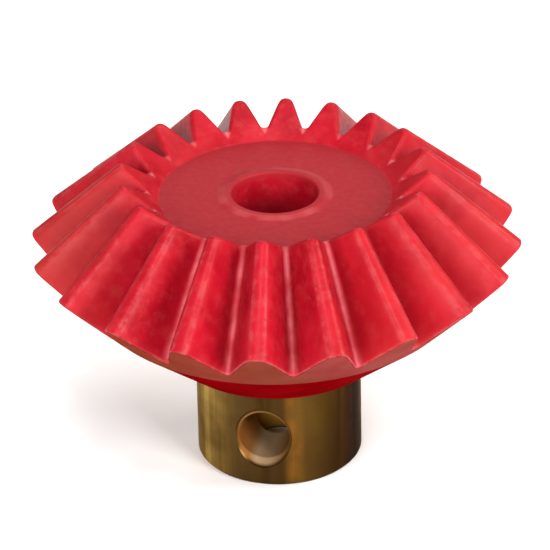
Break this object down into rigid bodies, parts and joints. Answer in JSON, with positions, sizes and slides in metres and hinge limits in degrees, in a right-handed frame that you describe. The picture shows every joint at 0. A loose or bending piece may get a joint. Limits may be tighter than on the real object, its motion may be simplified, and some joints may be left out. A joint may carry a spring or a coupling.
{
  "type": "bevel gear",
  "caption": "Straight bevel gear for a one-to-one right-angle drive: moulded plastic teeth on a brass hub with a bore and a cross hole for a set screw.",
  "frame": {"origin": "centre of the hub's end face, on the gear's axis", "axes": "+Z along the gear's axis towards the small end of the teeth; the open end of the cross hole faces -Y and the set screw is in the +Y end"},
  "size_m": [0.0266, 0.0266, 0.0175],
  "materials": {
    "red_plastic": "moulded, satin",
    "brass": "turned, slightly aged",
    "screw_steel": "black oxide"
  },
  "bodies": {
    "gear": {"gear_ring": "red_plastic", "brass_hub": "brass"},
    "screw": {"set_screw": "screw_steel"}
  },
  "joints": [
    {"name": "screw_travel", "type": "slide", "parent": "gear", "child": "screw", "axis": [0, 1, 0], "range_m": [-0.0005, 0.003]}
  ]
}
